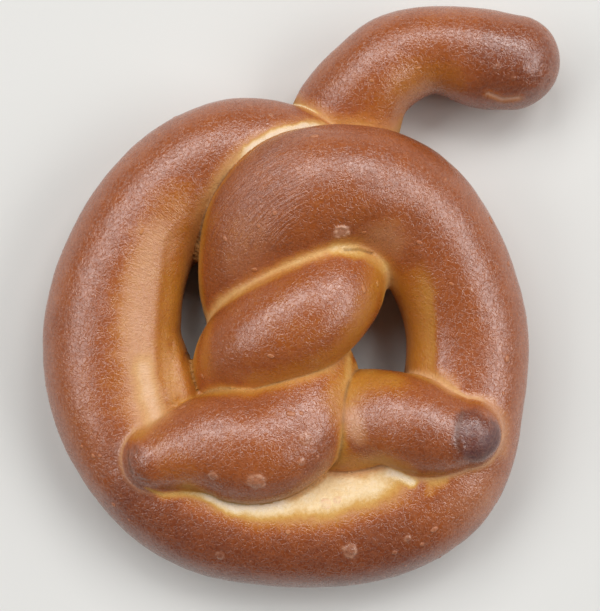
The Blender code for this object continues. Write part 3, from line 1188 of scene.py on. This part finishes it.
def blister_tree():
    """Scatters flat domes over a skin, more of them where it is brown, and keeps only the domes."""
    tree = bpy.data.node_groups.new("small_blisters", "GeometryNodeTree")
    tree.is_modifier = True
    new_socket = tree.interface.new_socket
    sockets = [new_socket(name=n, in_out="INPUT", socket_type=kind) for n, kind, _ in BLISTER_INPUTS]
    new_socket(name="Blisters", in_out="OUTPUT", socket_type=GEOMETRY)
    board = Board(tree)
    given = board.add("NodeGroupInput").outputs
    output = board.add("NodeGroupOutput")

    named = board.add("GeometryNodeInputNamedAttribute", {"Name": "brown"}, data_type="FLOAT")
    brown = named.outputs["Attribute"]
    normal = board.add("GeometryNodeInputNormal").outputs["Normal"]
    facing = board.add("ShaderNodeSeparateXYZ", {0: normal}).outputs["Z"]
    often = board.times(board.range(brown, 0.45, 0.68), board.range(facing, -0.1, 0.5))
    position = board.add("GeometryNodeInputPosition").outputs["Position"]
    clumps = board.noise(position, 55.0, 2.0)
    often = board.times(often, board.range(clumps, 0.40, 0.62, 0.12, 1.0))
    values = {
        "Mesh": given["Skin"],
        "Distance Min": given["Closest"],
        "Density Max": given["Count per square metre"],
        "Density Factor": often,
        "Seed": given["Seed"],
    }
    points = board.add("GeometryNodeDistributePointsOnFaces", values, distribute_method="POISSON")
    dome = board.add("GeometryNodeMeshUVSphere", {"Segments": 8, "Rings": 5, "Radius": 1.0})
    chance = board.add("FunctionNodeRandomValue", {2: 0.0, 3: 1.0, 8: 3}, data_type="FLOAT").outputs[1]
    chance = board.math("POWER", chance, 2.2)
    spread = board.math("SUBTRACT", given["Largest radius"], given["Smallest radius"])
    radius = board.math("MULTIPLY_ADD", chance, spread, given["Smallest radius"])
    height = board.times(radius, given["Flatness"])
    longer = board.add("FunctionNodeRandomValue", {2: 0.8, 3: 2.0, 8: 4}, data_type="FLOAT").outputs[1]
    values = {"X": board.times(radius, longer), "Y": radius, "Z": height}
    values = {
        "Points": points.outputs["Points"],
        "Instance": dome.outputs["Mesh"],
        "Rotation": points.outputs["Rotation"],
        "Scale": board.add("ShaderNodeCombineXYZ", values).outputs["Vector"],
    }
    domes = board.add("GeometryNodeInstanceOnPoints", values).outputs["Instances"]
    real = board.add("GeometryNodeRealizeInstances", {"Geometry": domes}).outputs["Geometry"]
    paler = board.math("SUBTRACT", brown, given["Paler by"])
    values = {"Geometry": real, "Name": "brown", "Value": paler}
    toned = board.add("GeometryNodeStoreNamedAttribute", values, data_type="FLOAT", domain="POINT")
    even = board.add("GeometryNodeSetShadeSmooth", {"Geometry": toned.outputs["Geometry"]})
    values = {"Geometry": even.outputs["Geometry"], "Material": given["Material"]}
    finished = board.add("GeometryNodeSetMaterial", values)
    board.fill(output, {"Blisters": finished.outputs["Geometry"]})
    return tree, sockets


def make_small_blisters(pretzel, material):
    obj = bpy.data.objects.new("small_blisters", pretzel.data.copy())
    bpy.context.scene.collection.objects.link(obj)
    tree, sockets = blister_tree()
    modifier = obj.modifiers.new("scatter", "NODES")
    modifier.node_group = tree
    for socket, (name, _, value) in zip(sockets, BLISTER_INPUTS):
        if name == "Material":
            value = material
        if value is not None:
            modifier[socket.identifier] = value
    apply_modifiers(obj)
    return obj


def floor():
    mesh = bmesh.new()
    bmesh.ops.create_grid(mesh, x_segments=1, y_segments=1, size=FLOOR_HALF_SIZE)
    obj = mesh_object("floor", mesh)
    material, board, shader = new_material("pale_floor")
    board.fill(shader, {"Base Color": FLOOR_COLOUR, "Roughness": FLOOR_ROUGHNESS})
    obj.data.materials.append(material)


def panel(name, bearing, lean, far, wide, tall, power):
    bearing, lean = math.radians(bearing), math.radians(lean)
    light = bpy.data.lights.new(name, "AREA")
    light.shape = "RECTANGLE"
    light.size = wide
    light.size_y = tall
    light.energy = power
    obj = bpy.data.objects.new(name, light)
    flat = math.sin(lean) * far
    obj.location = (math.cos(bearing) * flat, math.sin(bearing) * flat, math.cos(lean) * far)
    obj.rotation_euler = obj.location.to_track_quat("Z", "Y").to_euler()
    bpy.context.scene.collection.objects.link(obj)


def lights():
    for name, settings in PANELS.items():
        panel(name, *settings)
    world = bpy.data.worlds.new("room")
    world.use_nodes = True
    light = world.node_tree.nodes["Background"].inputs
    light["Color"].default_value = (1, 1, 1, 1)
    light["Strength"].default_value = ROOM_LIGHT
    bpy.context.scene.world = world
    bpy.context.scene.view_settings.view_transform = "Standard"


def camera():
    data = bpy.data.cameras.new("camera")
    data.sensor_width = 36.0
    data.lens = CAMERA_LENS
    data.clip_start = 0.01
    obj = bpy.data.objects.new("camera", data)
    obj.location = [c * MM for c in CAMERA_PLACE]
    bpy.context.scene.collection.objects.link(obj)
    bpy.context.scene.camera = obj


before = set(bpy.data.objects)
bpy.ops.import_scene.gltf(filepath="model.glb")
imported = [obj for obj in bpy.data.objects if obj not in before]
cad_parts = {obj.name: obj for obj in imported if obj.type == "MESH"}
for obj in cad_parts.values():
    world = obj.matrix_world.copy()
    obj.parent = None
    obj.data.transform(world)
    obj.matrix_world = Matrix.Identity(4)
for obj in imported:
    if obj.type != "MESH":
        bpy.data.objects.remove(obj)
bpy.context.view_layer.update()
camera()
lights()
floor()
baked_colour = baked_colour_group()
skin_grain = skin_grain_group()
pretzel = make_pretzel(Dough())
pretzel.data.materials.clear()
pretzel.data.materials.append(crust(baked_colour, skin_grain))
small_blisters = make_small_blisters(pretzel, blister_skin(baked_colour, skin_grain))
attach(pretzel, "root")
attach(small_blisters, "root")
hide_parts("pretzel")
